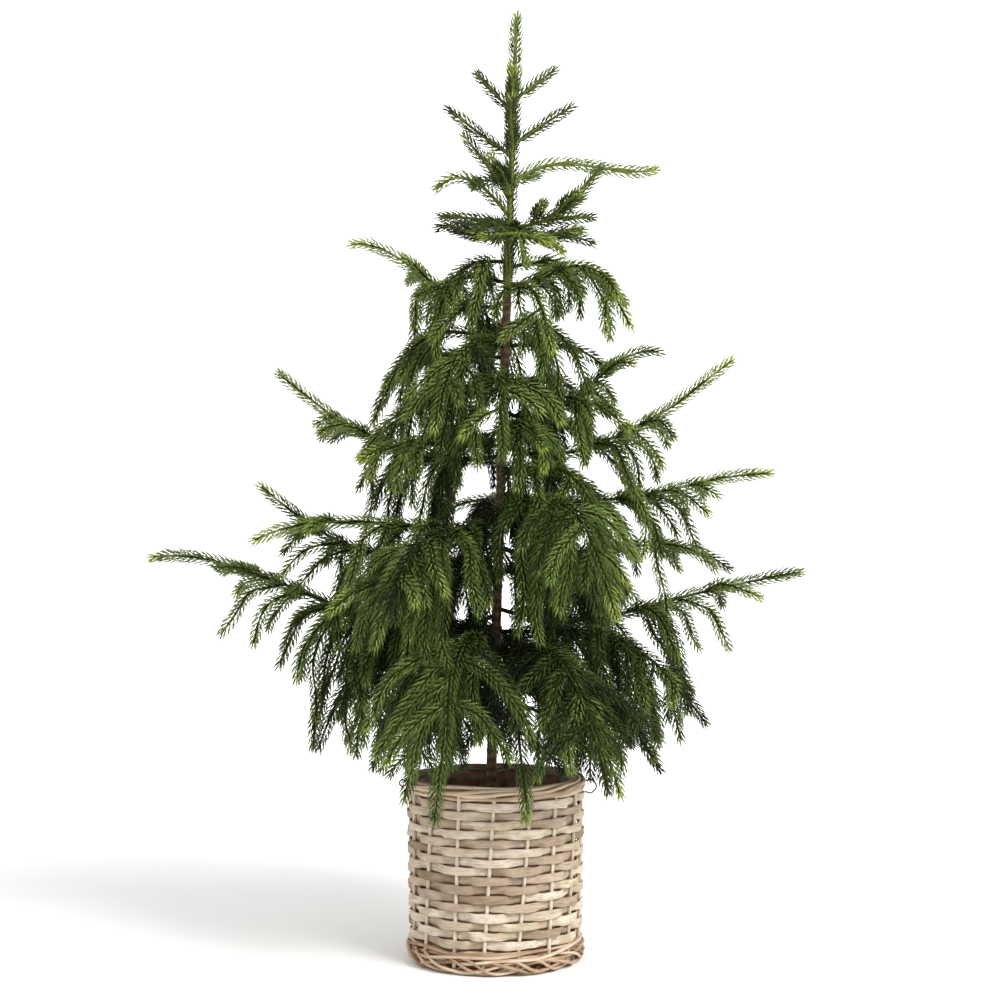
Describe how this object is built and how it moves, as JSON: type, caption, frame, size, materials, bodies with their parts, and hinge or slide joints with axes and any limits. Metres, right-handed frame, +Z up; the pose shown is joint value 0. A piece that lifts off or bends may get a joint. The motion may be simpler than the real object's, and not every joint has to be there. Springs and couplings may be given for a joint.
{
  "type": "artificial norfolk pine in willow basket",
  "caption": "Artificial Norfolk pine with drooping needle-covered sprays round a slim leaning trunk, standing in a round whitewashed split-willow basket.",
  "frame": {"origin": "middle of the flat underside of the basket floor, on the surface that the basket stands on", "axes": "+Z up, -Y towards the front of the plant, +X to the right seen from the front"},
  "size_m": [0.6192, 0.4238, 0.9],
  "materials": {
    "foliage": "moulded soft green needles, yellow-green at the tips of the sprays",
    "trunk": "tan brown bark sleeve with faint rings",
    "wall_willow": "whitewashed split willow, matt",
    "rim_willow": "pale round willow rods, matt",
    "foot_willow": "golden round willow rods, matt",
    "liner": "thin brown plastic, half matt",
    "filling": "cast filling with a brown fibre top",
    "wire": "dull grey steel wire"
  },
  "bodies": {
    "root": {"basket_floor": "foot_willow", "basket_foot": "foot_willow", "basket_wall": "wall_willow", "basket_rim": "rim_willow", "liner": "liner", "filling": "filling", "wire_ear_right": "wire", "wire_ear_left": "wire", "trunk": "trunk", "leader": "foliage", "tier1_bough1": "foliage", "tier1_bough2": "foliage", "tier1_bough3": "foliage", "tier1_bough4": "foliage", "tier1_bough5": "foliage", "tier1_bough6": "foliage", "tier2_bough1": "foliage", "tier2_bough2": "foliage", "tier2_bough3": "foliage", "tier2_bough4": "foliage", "tier2_bough5": "foliage", "tier2_bough6": "foliage", "tier3_bough1": "foliage", "tier3_bough2": "foliage", "tier3_bough3": "foliage", "tier3_bough4": "foliage", "tier3_bough5": "foliage", "tier4_bough1": "foliage", "tier4_bough2": "foliage", "tier4_bough3": "foliage", "tier4_bough4": "foliage", "tier4_bough5": "foliage", "tier4_bough6": "foliage", "tier4_bough7": "foliage", "tier5_bough1": "foliage", "tier5_bough2": "foliage", "tier5_bough3": "foliage", "tier5_bough4": "foliage", "tier5_bough5": "foliage", "tier5_bough6": "foliage", "tier6_bough1": "foliage", "tier6_bough2": "foliage", "tier6_bough3": "foliage", "tier6_bough4": "foliage", "tier6_bough5": "foliage", "tier7_bough1": "foliage", "tier7_bough2": "foliage", "tier7_bough3": "foliage", "tier7_bough4": "foliage", "tier7_bough5": "foliage", "tier7_bough6": "foliage", "tier8_bough1": "foliage", "tier8_bough2": "foliage", "tier8_bough3": "foliage", "tier8_bough4": "foliage", "tier8_bough5": "foliage", "tier8_bough6": "foliage", "tier8_bough7": "foliage"}
  },
  "joints": []
}
